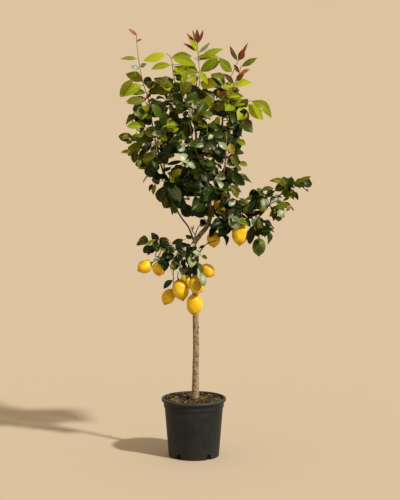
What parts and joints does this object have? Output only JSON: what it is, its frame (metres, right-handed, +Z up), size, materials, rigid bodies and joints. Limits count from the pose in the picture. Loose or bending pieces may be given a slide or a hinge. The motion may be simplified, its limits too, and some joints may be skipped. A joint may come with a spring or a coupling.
{
  "type": "potted lemon tree",
  "caption": "Young lemon tree trained on a bare stem, with an airy leafy crown, hanging yellow fruit and a tapered black nursery pot.",
  "frame": {"origin": "centre of the pot's flat underside, on the surface that the pot stands on", "axes": "+Z up along the stem, -Y to the front that the picture shows, +X to that view's right"},
  "size_m": [0.7031, 0.3822, 1.58],
  "materials": {
    "pot": "moulded black polypropylene, satin, dusty",
    "soil": "coarse peat and bark potting mix with some moss, matt",
    "bark": "thin grey-brown bark, matt",
    "rind": "ripe lemon rind, waxy satin with fine pores",
    "rind_green": "unripe lemon rind, waxy satin with fine pores",
    "leaf_dark": "mature leathery leaf, waxy sheen",
    "leaf_olive": "sunlit leaf, waxy sheen",
    "leaf_young": "young soft leaf, satin, lets light through",
    "leaf_red": "newest leaf, bronze red, satin"
  },
  "bodies": {
    "root": {"pot": "pot", "soil": "soil", "trunk_and_branches": "bark", "lemon_01": "rind", "lemon_02": "rind", "lemon_03": "rind", "lemon_04": "rind", "lemon_05": "rind", "lemon_06": "rind", "lemon_07": "rind", "lemon_08": "rind", "lemon_09": "rind", "lemon_10": "rind", "lemon_11": "rind", "lemon_green": "rind_green", "shoot_left": "leaf_young", "shoot_left_tip": "leaf_red", "shoot_left_centre": "leaf_young", "shoot_middle": "leaf_young", "shoot_middle_tip": "leaf_red", "shoot_right": "leaf_young", "shoot_right_tip": "leaf_red", "shoot_right_back": "leaf_olive", "shoot_front": "leaf_olive", "shoot_far_right": "leaf_young", "spray_trunk_10": "leaf_dark", "spray_left_4": "leaf_dark", "spray_left_6": "leaf_dark", "spray_left_7": "leaf_olive", "spray_frontLeft_1": "leaf_dark", "spray_frontLeft_3": "leaf_dark", "spray_backLeft_2": "leaf_dark", "spray_backLeft_3": "leaf_olive", "spray_right_3": "leaf_olive", "spray_front_2": "leaf_dark", "spray_front_3": "leaf_dark", "spray_front_4": "leaf_olive", "spray_frontRight_1": "leaf_dark", "spray_frontRight_2": "leaf_dark", "spray_back_1": "leaf_dark", "spray_back_3": "leaf_dark", "spray_backRight_2": "leaf_dark", "spray_backRight_3": "leaf_dark", "spray_fork": "leaf_dark", "spray_lemon": "leaf_dark", "spray_branch_root": "leaf_dark", "spray_branch_upper": "leaf_dark", "spray_branch_lower": "leaf_dark", "spray_branch_outer": "leaf_dark", "spray_branch_tip": "leaf_olive", "spray_fruiting_tip": "leaf_dark", "spray_fruiting_middle": "leaf_dark", "spray_fruiting_root": "leaf_dark"}
  },
  "joints": []
}
